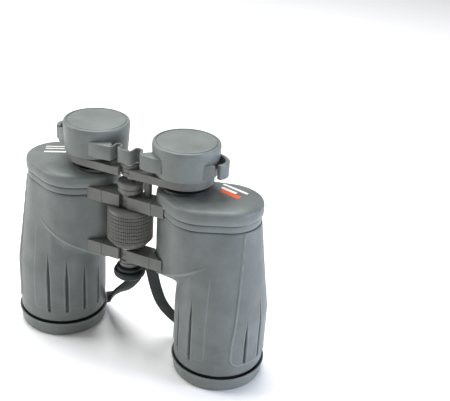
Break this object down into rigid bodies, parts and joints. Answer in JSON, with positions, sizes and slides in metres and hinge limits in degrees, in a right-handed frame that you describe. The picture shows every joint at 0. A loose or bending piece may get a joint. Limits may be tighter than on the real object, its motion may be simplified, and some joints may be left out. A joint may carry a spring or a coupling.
{
  "type": "binoculars",
  "caption": "Rubber armoured Porro prism binoculars with capped objectives, folded centre hinge, focus wheel, eyepiece bridge and a rain guard over the eyepieces.",
  "frame": {"origin": "on the floor, midway between the two objective axes", "axes": "+X towards the user's left barrel, +Z from objectives to eyepieces, -Y the side that faces the sky in use and carries the hinge"},
  "size_m": [0.191, 0.063, 0.1644],
  "materials": {
    "armour_rubber": "fine matt moulded rubber, grey green",
    "soft_rubber": "soft matt rubber, grey green",
    "strap_rubber": "flat dark rubber strap",
    "grey_plastic": "moulded grey plastic",
    "black_casting": "matt black paint on a casting",
    "steel": "turned steel",
    "optical_glass": "polished, coated"
  },
  "bodies": {
    "left_body": {"collar": "grey_plastic", "guide_post": "grey_plastic", "hinge_nut": "grey_plastic", "hinge_tube": "steel", "left_armour": "armour_rubber", "left_eyepiece_sleeve": "black_casting", "left_lower_arm": "grey_plastic", "left_objective_barrel": "black_casting", "left_objective_cell": "black_casting", "left_objective_lens": "optical_glass", "left_prism_a": "optical_glass", "left_prism_b": "optical_glass", "left_prism_cover": "armour_rubber", "left_prism_housing": "black_casting", "left_prism_shelf": "black_casting", "left_tether_strap": "strap_rubber", "left_upper_arm": "grey_plastic", "right_tether_strap": "strap_rubber", "tether_ring": "strap_rubber", "wheel_washer": "steel"},
    "right_body": {"right_armour": "armour_rubber", "right_eyepiece_sleeve": "black_casting", "right_lower_arm": "grey_plastic", "right_objective_barrel": "black_casting", "right_objective_cell": "black_casting", "right_objective_lens": "optical_glass", "right_prism_a": "optical_glass", "right_prism_b": "optical_glass", "right_prism_cover": "armour_rubber", "right_prism_housing": "black_casting", "right_prism_shelf": "black_casting", "right_upper_arm": "grey_plastic"},
    "focus_wheel_body": {"focus_wheel": "grey_plastic"},
    "eyepiece_bridge": {"focus_spindle": "steel", "hub_cap": "grey_plastic", "left_bridge_arm": "grey_plastic", "left_eye_lens": "optical_glass", "left_eyecup": "soft_rubber", "left_eyepiece_tube": "black_casting", "left_field_lens": "optical_glass"},
    "right_eyepiece": {"right_bridge_arm": "grey_plastic", "right_eye_lens": "optical_glass", "right_eyecup": "soft_rubber", "right_eyepiece_tube": "black_casting", "right_field_lens": "optical_glass"},
    "diopter": {"diopter_ring": "grey_plastic"},
    "left_rainguard": {"left_rainguard_cap": "soft_rubber", "rainguard_link": "soft_rubber"},
    "right_rainguard": {"right_rainguard_cap": "soft_rubber"},
    "left_objective_cap_body": {"left_objective_cap": "soft_rubber"},
    "right_objective_cap_body": {"right_objective_cap": "soft_rubber"},
    "tripod_cap_body": {"tripod_cap": "soft_rubber"}
  },
  "joints": [
    {"name": "hinge_fold", "type": "hinge", "parent": "left_body", "child": "right_body", "pos_m": [0, -0.0134, 0.1], "axis": [0, 0, 1], "range_deg": [-35, 17], "deforming": ["right_tether_strap", "rainguard_link"]},
    {"name": "focus_turn", "type": "hinge", "parent": "left_body", "child": "focus_wheel_body", "pos_m": [0, -0.0134, 0.1], "axis": [0, 0, 1], "range_deg": [-205, 260]},
    {"name": "bridge_slide", "type": "slide", "parent": "left_body", "child": "eyepiece_bridge", "axis": [0, 0, 1], "range_m": [-0.003, 0.0038]},
    {"name": "right_eyepiece_fold", "type": "hinge", "parent": "eyepiece_bridge", "child": "right_eyepiece", "pos_m": [0, -0.0134, 0.1], "axis": [0, 0, 1], "range_deg": [-35, 17]},
    {"name": "diopter_turn", "type": "hinge", "parent": "right_eyepiece", "child": "diopter", "pos_m": [-0.0335, -0.0018, 0.15], "axis": [0, 0, 1], "range_deg": [-40, 40]},
    {"name": "rainguard_pull", "type": "slide", "parent": "eyepiece_bridge", "child": "left_rainguard", "axis": [0, 0, 1], "range_m": [0, 0.03]},
    {"name": "rainguard_fold", "type": "hinge", "parent": "left_rainguard", "child": "right_rainguard", "pos_m": [0, -0.0134, 0.1], "axis": [0, 0, 1], "range_deg": [-35, 17]},
    {"name": "left_cap_pull", "type": "slide", "parent": "left_body", "child": "left_objective_cap_body", "axis": [0, 0, -1], "range_m": [0, 0.02], "deforming": ["left_tether_strap"]},
    {"name": "right_cap_pull", "type": "slide", "parent": "right_body", "child": "right_objective_cap_body", "axis": [0, 0, -1], "range_m": [0, 0.02]},
    {"name": "tripod_cap_pull", "type": "slide", "parent": "left_body", "child": "tripod_cap_body", "axis": [0, 0, -1], "range_m": [0, 0.012]}
  ],
  "couplings": [
    {"joint": "focus_turn", "follows": "bridge_slide", "rad_per_m": 1176.5},
    {"joint": "right_eyepiece_fold", "follows": "hinge_fold", "ratio": 1},
    {"joint": "rainguard_fold", "follows": "hinge_fold", "ratio": 1}
  ]
}
